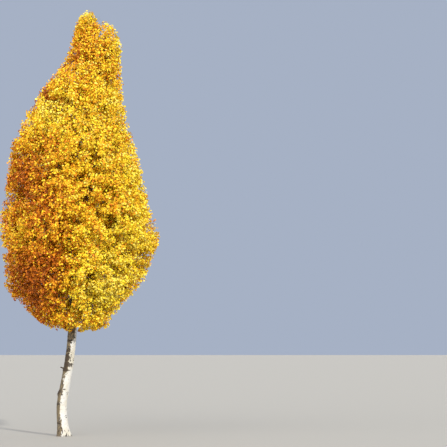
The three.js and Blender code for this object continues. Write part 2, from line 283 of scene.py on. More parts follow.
def spine(bough):
    """Points along a bough outside the trunk, each with the bough's radius there."""
    share = np.linspace(0, 1, 31)
    places = bough["curve"].at(share)
    radii = mix(bough["radius"], BOUGH_TIP_RADIUS, share)
    away = np.linalg.norm(places - trunk_axis(places[:, 2]), axis=1)
    outside = away > 0.8 * trunk_radius(places[:, 2])
    return places[outside], radii[outside]


def boughs_part(a, b):
    (a_places, a_radii), (b_places, b_radii) = spine(a), spine(b)
    apart = np.linalg.norm(a_places[:, None] - b_places[None], axis=-1)
    return np.all(apart > a_radii[:, None] + b_radii[None] + BOUGH_GAP)


def clear_bough(centre, angle, climb, others):
    """A bough that would touch an earlier one leaves the trunk a little lower or higher."""
    for shift in START_SHIFTS:
        bough = bough_to(centre, angle, climb + shift)
        if all(boughs_part(bough, other) for other in others):
            return bough
    raise ValueError("no room for a bough")


def plan_masses():
    """The masses: the middle of each, its bough if it has one, and where its stem begins."""
    leader = Bend(trunk_axis(LEADER["from"]), LEADER["knee"], LEADER["tip"])
    masses = [
        {
            "name": "right_peak",
            "centre": np.array(RIGHT_PEAK["centre"]),
            "bough": {"curve": leader, "radius": LEADER["radius"]},
            "root": leader.end,
            "peak": True,
        },
        {
            "name": "left_peak",
            "centre": np.array(LEFT_PEAK["centre"]),
            "bough": None,
            "root": trunk_axis(LEFT_PEAK["base"]),
            "peak": True,
            "tall": True,
        },
    ]
    for t, (name, tier_height, count, turn, climb) in enumerate(TIERS):
        for i in range(count):
            draws = Draws(100 * t + i)
            angle = math.radians(turn + 360 * i / count + draws.wobble(TURN_JITTER))
            height = tier_height + draws.wobble(HEIGHT_JITTER)
            out = np.array((math.cos(angle), math.sin(angle), 0.0))
            reach = CENTRE_SHARE * crown_reach(height, angle)
            centre = trunk_axis(height) + out * reach
            others = [mass["bough"] for mass in masses if mass["bough"]]
            bough = clear_bough(centre, angle, climb, others) if climb else None
            root = bough["curve"].end if bough else trunk_axis(height - 0.75 * reach)
            mass = {"name": f"{name}_{i + 1}", "centre": centre, "bough": bough, "root": root}
            masses.append(mass)
    return masses


masses = plan_masses()
CENTRES = np.array([mass["centre"] for mass in masses])
CENTRES_APART = np.linalg.norm(CENTRES[:, None] - CENTRES[None], axis=-1)
NARROW = np.array(["peak" in mass["name"] or "neck" in mass["name"] for mass in masses])
BOUGHS = [mass["bough"] for mass in masses if mass["bough"]]


def in_space(points, owners, gap=MASS_GAP, radius=MASS_RADIUS):
    """True where each point lies in its own mass's space: nearer its middle than any other's,
    inside its own round form, and inside the crown's outline."""
    from_centres = points[:, None] - CENTRES[None]
    far = np.sum(from_centres**2, axis=-1)
    row = np.arange(len(points))
    own, to_own = far[row, owners], from_centres[row, owners]
    round_form = np.hypot(np.hypot(to_own[:, 0], to_own[:, 1]), to_own[:, 2] / MASS_FLATNESS)
    margin = (far - own[:, None]) / 2 - gap * CENTRES_APART[owners]
    margin[row, owners] = 1
    away = points - trunk_axis(points[:, 2])
    limit = crown_reach(points[:, 2], np.arctan2(away[:, 1], away[:, 0]))
    tall = (points[:, 2] > CROWN_OUTLINE[0, 0]) & (points[:, 2] < TREE_HEIGHT)
    within = np.hypot(away[:, 0], away[:, 1]) <= limit
    return tall & within & (round_form <= radius) & np.all(margin > 0, axis=1)


def room_along(starts, directions, owners, most, radius=MASS_RADIUS):
    """How far straight lines can run before they leave their masses' spaces."""
    room = np.zeros(len(starts))
    running = np.ones(len(starts), bool)
    for n in range(1, math.ceil(most / ROOM_STEP) + 1):
        now = np.flatnonzero(running)
        if not len(now):
            break
        ends = starts[now] + directions[now] * (n * ROOM_STEP)
        inside = in_space(ends, owners[now], radius=radius)
        room[now[inside]] = n * ROOM_STEP
        running[now[~inside]] = False
    return room


def through_side(turn):
    """The turn nearest to a wanted one that leads out through a flat side of the solid stem."""
    side = 60 + 120 * math.floor(turn / 120)
    return side + min(max(turn - side, -SIDE_REACH), SIDE_REACH)


def stem_of(mass, index):
    """A mass's stem, and its first twigs by the golden angle: fork, start, direction and room."""
    draws = Draws(5000 + 37 * index)
    tall, peak = mass.get("tall"), mass.get("peak")
    owner = np.array([index])
    centre, root = mass["centre"], mass["root"]
    entry = mass["bough"]["curve"].along(1) if mass["bough"] else unit(centre - root)
    outward = centre - trunk_axis(centre[2])
    outward[2] = 0
    heading = UP if tall else unit(unit(outward) + 0.5 * UP)
    beyond = room_along(centre[None], heading[None], owner, MASS_RADIUS)[0]
    reach = max(LEAST_STEM, beyond - (PEAK_SCALE if tall else 0.7) * SOLID_LEAF)
    end = centre + heading * reach
    knee = root + entry * 0.45 * np.linalg.norm(end - root)
    stem = Bend(root, knee, end)
    count = PEAK_TWIGS if peak else TWIGS
    scale = PEAK_SCALE if peak else 1
    twigs = []
    for i in range(count):
        share = (i + 0.35) / count
        half = min(1, int(2 * share))
        a, b = stem.at(half / 2), stem.at((half + 1) / 2)
        along = unit(b - a)
        turn = through_side(GOLDEN_ANGLE * (i + index) + draws.wobble(TURN_WOBBLE))
        lean = math.acos(mix(*TWIG_LEANS, share)) + math.radians(draws.wobble(LEAN_WOBBLE))
        direction = leaning(frame_of(along, stem.square()), lean, math.radians(turn))
        place = mix(a, b, 2 * share - half)
        room = room_along(place[None], direction[None], owner, 1.3 * MASS_RADIUS)[0]
        if room - 0.45 * scale * SOLID_LEAF >= LEAST_TWIG:
            twigs.append((stem.at(share), place, direction, room))
    return stem, twigs


# Finer twigs: branchlets on the twigs and stems, shoots on the branchlets, and leaves on the
# shoots. A limb's path is a row of points, and its owner is the index of its mass, whose round form
# is a little larger for them. A path turns up by its lift after a share of its length, and sways.
# Side limbs lean more at the foot of a path than at its tip.
STEM_POINTS = 12
TWIG_POINTS = 7
BRANCHLET_POINTS = 4
STEM_RADII = (0.02, 0.008)
TWIG_RADII = (0.0085, 0.003)
BRANCHLET_RADII = (0.0038, 0.0016)
SHOOT_RADIUS = 0.0018
FINE_RADIUS = 1.14
LIFT = 0.16
LIFT_AFTER = 0.35
SWAY = 0.05
LEAN_SHARES = (1.25, 0.55)
TURN_SPREAD = 0.25
LEAN_SPREAD = 0.12
TWIG_END_ROOM = 0.09
TWIG_SAG = 0.05

# Branchlets: the step from one to the next, less in the narrow masses at the top, their reach at
# the foot and at the tip of what carries them, their lean from it, where the first one stands on
# it, the room left beyond each, and the least length that is kept. They hang near the crown's
# underside.
BRANCHLET_STEP = 0.04
NARROW_STEP_SHARE = 0.6
BRANCHLET_REACH = (0.72, 0.58)
BRANCHLET_LEAN = 52
FIRST_ON_STEM = 0.12
FIRST_ON_TWIG = 0.14
BRANCHLET_END_ROOM = 0.05
LEAST_BRANCHLET = 0.1

# The crown's underside, and how strongly branchlets and shoots hang there
UNDERSIDE = 2.85
BRANCHLET_HANG = 0.75
SHOOT_HANG = 0.9

# Gaps in the outer crown that branchlets reach into: places tried in each mass, how far a gap lies
# from the other branchlets, and the shares of the crown's reach that it lies between
GAP_TRIES = 700
GAP_WIDTH = 0.17
GAP_DEPTHS = (0.45, 0.94)

# Shoots: their steps, lengths and lean, how much each may be cut to fit, how far those of
# neighbouring masses interlock, as a share of the way between their middles, and how far right one
# may end, so that its leaves keep to the solids' reach
SHOOT_STEP = 0.026
FIRST_SHOOT = 0.1
SHOOT_LENGTHS = (0.1, 0.19)
SHOOT_LEAN = 48
SHOOT_CUTS = (1, 0.75, 0.5)
SHOOT_OVERLAP = 0.05
SHOOTS_RIGHT = 2.285

# The crown's ragged outline: the size of its hollows and, as shares of the crown's reach, their
# depth, its grain and how far it draws in on the left
HOLLOW_SIZE = 0.36
HOLLOW_DEPTH = 0.085
OUTLINE_GRAIN = 0.03
LEFT_DRAWN_IN = 0.014
LEFT_SIDE = (-0.9, -1.5)

# Thinning: the cells of its grid, the depths in the crown from which a cell keeps one shoot more,
# the heights between which the neck becomes as full as the edge, the sizes of clumps and of lumps
# in them, the limits past which a cell keeps one less or one more for them, and what the tips keep
# beyond that
SHOOT_CELL = 0.137
FULLER_DEPTHS = (0.55, 0.9)
NECK_HEIGHTS = (8.7, 9.4)
CLUMP_SIZES = (0.55, 0.23)
CLUMP_LIMITS = (-0.6, 0.3)
TIP_FROM = 10.45
TIP_SHOOTS = 3

# The crown's peaks: the height that they part at, their radius at the tip, how uneven they are, and
# the tip of each with how fast it widens below that
SPIRE_BASE = 10.15
SPIRE_TIP = 0.08
SPIRE_UNEVEN = 0.45
SPIRES = [
    ((0.41, 0.01, 11.0), 0.48),
    ((0.94, -0.04, 10.7), 0.55),
    ((1.17, -0.04, 10.24), 0.8),
]

# Openings in the front leaves, as seen from the camera, where a limb or a hollow shows: the place
# of what shows and the opening's radius
CAMERA_PLACE = np.array((3.974, -24.6, 2.1))
OPENING_UNEVEN = 0.5
OPENINGS = [
    ((0.24, 0.0, 7.2), 0.08),
    ((0.27, 0.0, 7.42), 0.1),
    ((0.46, -0.1, 5.98), 0.1),
    ((0.56, -0.1, 6.22), 0.1),
    ((-0.26, -0.1, 6.82), 0.09),
    ((-0.14, -0.3, 3.52), 0.1),
    ((-0.5, -0.2, 5.2), 0.09),
]


def limb_paths(starts, directions, lengths, points, lift, seed):
    """Paths that leave their starts along a direction, and turn up a little as they go."""
    rng = np.random.default_rng(seed)
    share = np.linspace(0, 1, points)[None, :, None]
    length = lengths[:, None, None]
    straight = starts[:, None] + directions[:, None] * length * share
    rise = UP * lift * length * share * (share - LIFT_AFTER)
    sway = rng.normal(0, SWAY, (len(starts), 1, 3)) * length * np.sin(np.pi * share)
    return straight + rise + sway


def places_along(paths, share):
    """The place and direction at a share of each path."""
    pieces = paths.shape[1] - 1
    piece = np.clip((share * pieces).astype(int), 0, pieces - 1)
    row = np.arange(len(paths))
    a, b = paths[row, piece], paths[row, piece + 1]
    return mix(a, b, (share * pieces - piece)[:, None]), unit(b - a)


def side_limbs(paths, steps, first, lean, seed):
    """Starts of side limbs at even steps along paths, turned round them by the golden angle: the
    index of each one's parent, its share of the parent's length, its place and its direction."""
    rng = np.random.default_rng(seed)
    lengths = np.linalg.norm(np.diff(paths, axis=1), axis=2).sum(axis=1)
    counts = np.maximum(1, (lengths * (1 - first) / steps).astype(int))
    parents = np.repeat(np.arange(len(paths)), counts)
    order = np.arange(counts.sum()) - np.repeat(np.cumsum(counts) - counts, counts)
    share = first + (1 - first) * (order + 0.6) / counts[parents]
    places, along = places_along(paths[parents], np.minimum(share, 0.999))
    turns = np.radians(GOLDEN_ANGLE * (order + 3 * parents))
    turns += rng.normal(0, TURN_SPREAD, len(order))
    leans = np.radians(lean * mix(*LEAN_SHARES, share))
    leans += rng.normal(0, LEAN_SPREAD, len(order))
    return parents, share, places, leaning(frame_of(along), leans, turns)


def thinned(places, cell, most, seed):
    """Which places to keep so that no cell of a grid has more than its share of them."""
    rng = np.random.default_rng(seed)
    order = rng.permutation(len(places))
    cells = np.floor(places[order] / cell).astype(np.int64)
    _, group = np.unique(cells, axis=0, return_inverse=True)
    group = group.ravel()
    by_group = np.argsort(group, kind="stable")
    sorted_groups = group[by_group]
    first = np.searchsorted(sorted_groups, sorted_groups, side="left")
    rank = np.empty(len(places), int)
    rank[by_group] = np.arange(len(places)) - first
    keep = np.zeros(len(places), bool)
    keep[order] = rank < most[order]
    return keep


def crown_depth(points):
    """How far out points lie in the crown: 0 on the trunk's middle line and 1 on its outline."""
    away = points - trunk_axis(points[:, 2])
    angle = np.arctan2(away[:, 1], away[:, 0])
    return np.hypot(away[:, 0], away[:, 1]) / crown_reach(points[:, 2], angle)


def in_spires(points):
    """True below the crown's peaks, and above that only where one of them narrows to its tip."""
    inside = points[:, 2] < SPIRE_BASE
    uneven = 1 + SPIRE_UNEVEN * lumps(points, 0.22, 6)
    for tip, slope in SPIRES:
        away = np.hypot(points[:, 0] - tip[0], points[:, 1] - tip[1])
        inside |= away < SPIRE_TIP + slope * uneven * (tip[2] - points[:, 2])
    return inside


def in_openings(points):
    """True where a point lies between the camera and a limb or hollow that shows."""
    inside = np.zeros(len(points), bool)
    uneven = 1 + OPENING_UNEVEN * lumps(points, 0.12, 7)
    for middle, radius in OPENINGS:
        sight = unit(np.array(middle) - CAMERA_PLACE)
        from_middle = points - middle
        along = from_middle @ sight
        aside = np.linalg.norm(from_middle - along[:, None] * sight, axis=1)
        inside |= (aside < radius * uneven) & (along < 0.05)
    return inside


def clear_of_boughs(paths):
    """True where no point of a path lies in a bough or in the trunk."""
    clear = np.ones(len(paths), bool)
    spines = [spine(bough) for bough in BOUGHS]
    for i in range(paths.shape[1]):
        points = paths[:, i]
        heights = points[:, 2]
        for places, radii in spines:
            apart = np.linalg.norm(points[:, None] - places[None], axis=-1)
            clear &= np.all(apart > radii, axis=1)
        away = np.linalg.norm((points - trunk_axis(heights))[:, :2], axis=1)
        clear &= (away > trunk_radius(np.minimum(heights, TRUNK_TOP))) | (heights > TRUNK_TOP)
    return clear


def grow_twigs():
    """Every mass's stem, the first twigs on them all, and the owner of each twig."""
    stems, twigs, owners = [], [], []
    for index, mass in enumerate(masses):
        stem, first_twigs = stem_of(mass, index)
        stems.append(stem.at(np.linspace(0, 1, STEM_POINTS)))
        for fork, place, direction, room in first_twigs:
            end = place + direction * (room - TWIG_END_ROOM)
            share = np.linspace(0, 1, TWIG_POINTS)[:, None]
            sag = UP * TWIG_SAG * room * np.sin(np.pi * share)
            twigs.append(mix(fork, end, share) - sag)
            owners.append(index)
    twigs, owners = np.array(twigs), np.array(owners)
    keep = clear_of_boughs(twigs[:, 1:])
    return np.array(stems), twigs[keep], owners[keep]


def side_branchlets(paths, owners, first, seed):
    """Branchlets at even steps along stems or twigs, as far as their masses' spaces let them."""
    steps = BRANCHLET_STEP * np.where(NARROW[owners], NARROW_STEP_SHARE, 1)
    parents, share, places, directions = side_limbs(paths, steps, first, BRANCHLET_LEAN, seed)
    hanging = smooth(UNDERSIDE + 1.1, UNDERSIDE + 0.1, places[:, 2])
    directions = unit(directions - UP * BRANCHLET_HANG * hanging[:, None])
    most = BRANCHLET_REACH[0] + 0.1
    room = room_along(places, directions, owners[parents], most, FINE_RADIUS)
    lengths = np.minimum(room - BRANCHLET_END_ROOM, mix(*BRANCHLET_REACH, share))
    keep = lengths > LEAST_BRANCHLET
    starts, directions, lengths = places[keep], directions[keep], lengths[keep]
    grown = limb_paths(starts, directions, lengths, BRANCHLET_POINTS, LIFT, seed + 1)
    return grown, owners[parents][keep]


def reaching_branchlets(stems, twigs, twig_owners, branchlets, owners):
    """Branchlets from the nearest stem or twig of each mass into the gaps that the others leave."""
    rng = np.random.default_rng(15)
    starts, ends, reaching = [], [], []
    for index, mass in enumerate(masses):
        wood = np.concatenate([stems[index, 3:], twigs[twig_owners == index, 2:].reshape(-1, 3)])
        tries = mass["centre"] + rng.uniform(-FINE_RADIUS, FINE_RADIUS, (GAP_TRIES, 3))
        inside = in_space(tries, np.full(GAP_TRIES, index), radius=FINE_RADIUS)
        depth = crown_depth(tries)
        inside &= (depth > GAP_DEPTHS[0]) & (depth < GAP_DEPTHS[1]) & in_spires(tries)
        filled = branchlets[owners == index].reshape(-1, 3)
        for place in tries[inside]:
            if np.min(np.linalg.norm(filled - place, axis=1)) > GAP_WIDTH:
                start = wood[np.argmin(np.linalg.norm(wood - place, axis=1))]
                starts.append(start)
                ends.append(place)
                reaching.append(index)
                new_points = mix(start, place, np.linspace(0.4, 1, 4)[:, None])
                filled = np.concatenate([filled, new_points])
    starts, ways = np.array(starts), np.array(ends) - np.array(starts)
    lengths = np.linalg.norm(ways, axis=1)
    grown = limb_paths(starts, unit(ways), lengths, BRANCHLET_POINTS, LIFT, 16)
    return grown, np.array(reaching)


def grow_branchlets(stems, twigs, twig_owners):
    """All the branchlets, and the owner of each."""
    on_stems, stem_owners = side_branchlets(stems, np.arange(len(masses)), FIRST_ON_STEM, 11)
    on_twigs, on_twigs_owners = side_branchlets(twigs, twig_owners, FIRST_ON_TWIG, 12)
    branchlets = np.concatenate([on_stems, on_twigs])
    owners = np.concatenate([stem_owners, on_twigs_owners])
    reaching, reaching_owners = reaching_branchlets(stems, twigs, twig_owners, branchlets, owners)
    branchlets = np.concatenate([branchlets, reaching])
    owners = np.concatenate([owners, reaching_owners])
    keep = clear_of_boughs(branchlets[:, 1:])
    return branchlets[keep], owners[keep]


def shoots_fit(ends, owners, outline):
    """True where shoots end in their masses' spaces, within the outline, outside the openings."""
    fits = in_space(ends, owners, gap=-SHOOT_OVERLAP, radius=FINE_RADIUS)
    fits &= (crown_depth(ends) < outline) & in_spires(ends) & ~in_openings(ends)
    return fits & (ends[:, 0] < SHOOTS_RIGHT)


def shoots_kept(ends, under):
    """How many shoots a cell may keep at each end: more at the outline, the tips and in clumps."""
    large, small = CLUMP_SIZES
    clumps = lumps(ends, large, 31) + 0.5 * lumps(ends, small, 32)
    neck = smooth(*NECK_HEIGHTS, ends[:, 2])
    edge = np.maximum.reduce([crown_depth(ends), under, neck])
    most = 1 + sum((edge > depth).astype(int) for depth in FULLER_DEPTHS) + (under > 0.5)
    most = most + (clumps > CLUMP_LIMITS[1]) - (clumps < CLUMP_LIMITS[0])
    return most + TIP_SHOOTS * (ends[:, 2] > TIP_FROM)


def grow_shoots(branchlets, branchlet_owners):
    """Shoots along the branchlets, thinned to an even crown, and the branchlets that carry any."""
    parents, _, places, directions = side_limbs(branchlets, SHOOT_STEP, FIRST_SHOOT, SHOOT_LEAN, 21)
    owners = branchlet_owners[parents]
    rng = np.random.default_rng(22)
    lengths = rng.uniform(*SHOOT_LENGTHS, len(places))
    outline = 1 - HOLLOW_DEPTH * smooth(0, 0.9, lumps(places, HOLLOW_SIZE, 305))
    outline -= OUTLINE_GRAIN * rng.random(len(places))
    outline -= LEFT_DRAWN_IN * smooth(*LEFT_SIDE, places[:, 0])
    under = smooth(UNDERSIDE + 0.5, UNDERSIDE, places[:, 2])
    directions = unit(directions - UP * SHOOT_HANG * under[:, None])
    fits = np.zeros(len(places), bool)
    for cut in SHOOT_CUTS:
        ends = places + directions * (lengths * cut)[:, None]
        fits_now = shoots_fit(ends, owners, outline)
        lengths = np.where(fits_now & ~fits, lengths * cut, lengths)
        fits |= fits_now
    ends = (places + directions * lengths[:, None])[fits]
    most = shoots_kept(ends, under[fits])
    keep = np.flatnonzero(fits)[thinned(ends, SHOOT_CELL, most, 44)]
    shoots = limb_paths(places[keep], directions[keep], lengths[keep], 2, 0.0, 24)
    return shoots, branchlets[np.unique(parents[keep])]


def grow_wood():
    """All the wood of the masses, coarsest first: stems, twigs, branchlets and shoots."""
    stems, twigs, twig_owners = grow_twigs()
    branchlets, owners = grow_branchlets(stems, twigs, twig_owners)
    shoots, branchlets = grow_shoots(branchlets, owners)
    return stems, twigs, branchlets, shoots


# Leaves: broad and nearly round, with a short point, a little folded along the middle. A corner of
# the outline lies across, along and off the leaf, in leaf lengths.
LEAF_LENGTHS = (0.044, 0.058)
LEAF_OUTLINE = np.array([
    (0.0, 0.0, 0.0),
    (0.43, 0.26, 0.09),
    (0.39, 0.68, 0.1),
    (0.0, 1.0, -0.05),
    (-0.39, 0.68, 0.1),
    (-0.43, 0.26, 0.09),
])
STALK_LENGTHS = (0.028, 0.045)
STALK_WIDTH = 0.0018
LEAVES_PER_SHOOT = (5, 8)
SPRAY_LEAVES = 3
STALK_LEANS = (72, 30)
# What turns a leaf: its stalk, its weight, the light from outside and above, and the wind
LEAF_ALONG_STALK = 0.6
LEAF_DROOP = 0.75
LEAF_OUTWARD = 0.7
LEAF_UPWARD = 0.25
LEAF_FLUTTER = 0.7


def grow_leaves(shoots):
    """The corners of each leaf on its stalk, the spray that it belongs to, and each spray's
    place. A spray is a few neighbouring leaves on one shoot."""
    rng = np.random.default_rng(41)
    counts = rng.integers(*LEAVES_PER_SHOOT, len(shoots), endpoint=True)
    parents = np.repeat(np.arange(len(shoots)), counts)
    order = np.arange(counts.sum()) - np.repeat(np.cumsum(counts) - counts, counts)
    share = np.minimum((order + 0.8) / counts[parents], 0.995)
    places, along = places_along(shoots[parents], share)
    turns = np.radians(GOLDEN_ANGLE * order) + rng.normal(0, 0.3, len(order))
    leans = np.radians(mix(*STALK_LEANS, share)) + rng.normal(0, 0.15, len(order))
    stalk = leaning(frame_of(along), leans, turns)
    stalk_lengths = rng.uniform(*STALK_LENGTHS, len(order))[:, None]
    joint = places + stalk * stalk_lengths
    hanging = stalk * LEAF_ALONG_STALK - UP * LEAF_DROOP
    blade = unit(hanging + rng.normal(0, LEAF_FLUTTER, joint.shape))
    outward = unit(places - trunk_axis(places[:, 2] - 0.4))
    facing = outward * LEAF_OUTWARD + UP * LEAF_UPWARD + rng.normal(0, LEAF_FLUTTER, joint.shape)
    across = unit(np.cross(blade, facing))
    normal = np.cross(across, blade)
    size = rng.uniform(*LEAF_LENGTHS, len(order))[:, None, None]
    x, y, z = (LEAF_OUTLINE[None, :, i, None] for i in range(3))
    shape = across[:, None] * x + blade[:, None] * y + normal[:, None] * z
    corners = joint[:, None] + size * shape
    edge = unit(np.cross(stalk, along)) * STALK_WIDTH / 2
    foot = np.stack([places - edge, places + edge], axis=1)
    first_leaves = order % SPRAY_LEAVES == 0
    sprays = np.cumsum(first_leaves) - 1
    return np.concatenate([corners, foot], axis=1), sprays, places[first_leaves]


def mesh_piece(name, points, faces):
    """A piece from arrays: points, and lists of faces with equally many corners."""
    mesh = bpy.data.meshes.new(name)
    mesh.vertices.add(len(points))
    mesh.vertices.foreach_set("co", np.ascontiguousarray(points, np.float32).ravel())
    corners = np.concatenate([group.ravel() for group in faces])
    sizes = np.concatenate([np.full(len(group), group.shape[1]) for group in faces])
    starts = np.cumsum(sizes) - sizes
    mesh.loops.add(len(corners))
    mesh.loops.foreach_set("vertex_index", corners.astype(np.int32))
    mesh.polygons.add(len(sizes))
    mesh.polygons.foreach_set("loop_start", starts.astype(np.int32))
    mesh.update(calc_edges=True)
    piece = bpy.data.objects.new(name, mesh)
    bpy.context.scene.collection.objects.link(piece)
    return piece


def tube_arrays(paths, radii, sides):
    """Points and faces of closed tubes along many paths, which taper from one radius to another."""
    count, points = paths.shape[:2]
    along = np.empty_like(paths)
    along[:, 1:-1] = paths[:, 2:] - paths[:, :-2]
    along[:, 0], along[:, -1] = paths[:, 1] - paths[:, 0], paths[:, -1] - paths[:, -2]
    along = unit(along)
    square = np.broadcast_to(frame_of(unit(paths[:, -1] - paths[:, 0]))[1][:, None], along.shape)
    side = unit(square - along * np.sum(square * along, axis=-1, keepdims=True))
    over = np.cross(along, side)
    angle = 2 * np.pi * np.arange(sides) / sides
    around = side[:, :, None] * np.cos(angle)[:, None] + over[:, :, None] * np.sin(angle)[:, None]
    radius = np.linspace(*radii, points)[None, :, None, None]
    rings = paths[:, :, None] + around * radius
    first = np.arange(count)[:, None, None] * points * sides
    ring = np.arange(points - 1)[None, :, None] * sides
    now, after = np.arange(sides)[None, None], (np.arange(sides)[None, None] + 1) % sides
    quads = np.stack([
        first + ring + now,
        first + ring + after,
        first + ring + sides + after,
        first + ring + sides + now,
    ], axis=-1).reshape(-1, 4)
    caps = first[:, 0] + np.arange(sides)[None]
    return rings.reshape(-1, 3), quads, [caps[:, ::-1], caps + (points - 1) * sides]


def joined_tubes(name, groups):
    """One piece of many tapering tubes. Each group has its paths, radii and number of sides."""
    points, faces, total = [], [], 0
    for paths, radii, sides in groups:
        places, quads, caps = tube_arrays(paths, radii, sides)
        points.append(places)
        faces += [quads + total, *[cap + total for cap in caps]]
        total += len(places)
    return mesh_piece(name, np.concatenate(points), faces)


def joined_spikes(name, paths, radius):
    """One piece of many three-sided spikes, each from the first point of its path to the last."""
    feet, tips = paths[:, 0], paths[:, -1]
    _, side, over = frame_of(unit(tips - feet))
    angles = (0, 2 * np.pi / 3, 4 * np.pi / 3)
    ring = [feet + radius * (side * math.cos(angle) + over * math.sin(angle)) for angle in angles]
    points = np.stack([*ring, tips], axis=1)
    first = len([*ring, tips]) * np.arange(len(paths))[:, None, None]
    walls = np.array([(0, 1, 3), (1, 2, 3), (2, 0, 3), (2, 1, 0)])
    return mesh_piece(name, points.reshape(-1, 3), [(first + walls).reshape(-1, 3)])


# The trunk's cylinder. Its rings are closer low down, where the bark shows. If all were as close
# as the lowest, they would reach the even height only.
TRUNK_SIDES = 24
TRUNK_RINGS = 112
TRUNK_LEVELS = 2
EVEN_HEIGHT = 4.4

# Bark relief: how far swells of two sizes, furrows, cracks and wrinkles stand out, the height that
# the furrows at the foot reach, and the step from one wrinkle to the next
SWELL = 0.0045
SMALL_SWELL = 0.0016
FURROW = 0.008
FURROWS_TOP = 0.3
CRACK = 0.004
WRINKLE = 0.0011
WRINKLE_STEP = 0.021
# Eye scars: height, compass angle from +X, half width and half height
EYE_SCARS = [
    (0.32, 250, 0.04, 0.018),
    (0.46, 330, 0.034, 0.024),
    (0.785, 248, 0.046, 0.026),
    (1.03, 328, 0.032, 0.024),
    (1.3, 242, 0.03, 0.018),
    (1.52, 262, 0.03, 0.018),
    (1.73, 322, 0.028, 0.018),
    (1.87, 338, 0.03, 0.02),
    (2.03, 256, 0.05, 0.028),
    (2.16, 250, 0.04, 0.026),
    (2.3, 276, 0.05, 0.03),
    (2.43, 318, 0.036, 0.022),
    (2.46, 228, 0.038, 0.026),
    (2.62, 282, 0.036, 0.022),
    (2.8, 258, 0.04, 0.024),
]
# Patches of cracked dark bark: height, compass angle, half width and half height
DARK_PATCHES = [
    (0.2, 262, 0.03, 0.03),
    (0.32, 226, 0.07, 0.03),
    (0.785, 222, 0.08, 0.035),
    (1.02, 262, 0.03, 0.02),
    (1.08, 206, 0.09, 0.07),
    (1.15, 276, 0.03, 0.018),
    (1.62, 290, 0.07, 0.024),
    (1.64, 240, 0.14, 0.06),
    (1.76, 252, 0.17, 0.08),
    (1.78, 300, 0.05, 0.02),
    (1.93, 232, 0.15, 0.12),
    (2.12, 226, 0.11, 0.05),
    (2.36, 236, 0.11, 0.04),
    (2.56, 300, 0.04, 0.03),
    (2.62, 244, 0.09, 0.04),
    (2.95, 236, 0.14, 0.08),
]
# The side where the bark is darker from weather and as painted shade away from the key light, and
# the crown's painted shadow just under it, which brings it most of the way round the trunk there:
# the way that it faces, and how far the dark bark comes round it at some heights, as the cosine of
# an angle
WEATHERED_AND_SHADE_TURN = 195
WEATHERED_AND_SHADE_HEIGHTS = (0.0, 0.9, 1.2, 1.5, 1.64, 2.0, 2.3, 2.42, 3.2, 4.5, 7.0)
WEATHERED_AND_SHADE_EDGES = (0.32, 0.36, 0.46, 0.56, 0.1, 0.1, 0.2, -0.7, -0.6, 0.5, 0.7)
# Seeded scars: how many, the heights between which they lie, their half widths at the foot and at
# the trunk's top, their half height as a share of that, and the height from which they go all the
# way round
SEEDED_SCARS = 26
SEEDED_HEIGHTS = (0.5, 8.8)
SEEDED_WIDTHS = (0.036, 0.016)
SEEDED_TALL = 0.62
ROUND_FROM = 3
# The rough stub: height, compass angle, half width, half height and how far it stands out
ROUGH_STUB = (1.05, 172, 0.075, 0.06, 0.036)
# The dead stub: height, compass angle, length, radius and end radius, then how deep its root lies,
# how much it rises, how uneven it is and how far its broken end is drawn out, and the width and
# height of the swelling round it
DEAD_STUB = (1.64, 186, 0.078, 0.022, 0.013)
DEAD_STUB_ROOT = 0.03
DEAD_STUB_RISE = 0.012
DEAD_STUB_UNEVEN = 0.35
DEAD_STUB_SPLINTERS = 0.012
DEAD_STUB_COLLAR = (0.036, 0.014)
# The swelling where a bough leaves the trunk: its width and height in radii of the bough
BOUGH_COLLAR = (1.7, 0.45)


def all_scars():
    """The scars that are listed, and seeded ones for the rest of the trunk."""
    rng = np.random.default_rng(61)
    seeded = []
    for n in range(SEEDED_SCARS):
        height = mix(*SEEDED_HEIGHTS, (n + rng.random()) / SEEDED_SCARS)
        width = mix(*SEEDED_WIDTHS, height / TRUNK_TOP) * rng.uniform(0.8, 1.2)
        turn = GOLDEN_ANGLE * n % (180 if height < ROUND_FROM else 360)
        seeded.append((height, turn, width, SEEDED_TALL * width))
    return EYE_SCARS + seeded


class Skin:
    """Places on the plain trunk, where its bark's relief is worked out."""

    def __init__(self, z, angle):
        self.z, self.angle = z, angle
        self.radius = flared_radius(z, angle)
        level = [self.radius * np.cos(angle), self.radius * np.sin(angle)]
        self.points = np.stack([*level, z], axis=-1)

    def from_turn(self, turn):
        """How far each place lies round the trunk from a compass angle."""
        return ((self.angle - turn + np.pi) % (2 * np.pi) - np.pi) * self.radius


def add_eye_scars(skin, relief, scarred):
    """Adds the eye scars: a hollow with a lip round it, and a brow over it."""
    uneven = 0.16 * lumps(skin.points, 0.02, 73)
    for height, turn, width, tall in all_scars():
        u = skin.from_turn(math.radians(turn)) / width
        v = (skin.z - height) / tall
        near = np.hypot(u, v) + uneven
        lip = np.exp(-(((near - 1.05) / 0.3) ** 2))
        hollow = np.exp(-((near / 0.7) ** 4))
        brow_line = v - 2.1 + 0.55 * u**2
        brow = np.exp(-((brow_line / 0.4) ** 2)) * smooth(2.3, 1.4, np.abs(u))
        relief += tall * (0.32 * lip - 0.3 * hollow + 0.12 * brow)
        np.maximum(scarred, np.maximum(hollow, 0.85 * brow), out=scarred)


def add_stubs(skin, relief, scarred):
    """Adds the rough stub, and the swelling round the dead stub."""
    height, turn, width, tall, out = ROUGH_STUB
    near = np.hypot(skin.from_turn(math.radians(turn)) / width, (skin.z - height) / tall)
    bump = np.exp(-(near**2))
    relief += bump * out * (1 + 0.45 * lumps(skin.points, 0.028, 74))
    rough = bump + 0.3 * lumps(skin.points, 0.03, 75)
    np.maximum(scarred, smooth(0.35, 0.85, rough), out=scarred)
    height, turn = DEAD_STUB[:2]
    collar_width, collar_height = DEAD_STUB_COLLAR
    near = np.hypot(skin.from_turn(math.radians(turn)), skin.z - height) / collar_width
    relief += collar_height * np.exp(-(near**2))
    np.maximum(scarred, smooth(1.1, 0.7, near), out=scarred)


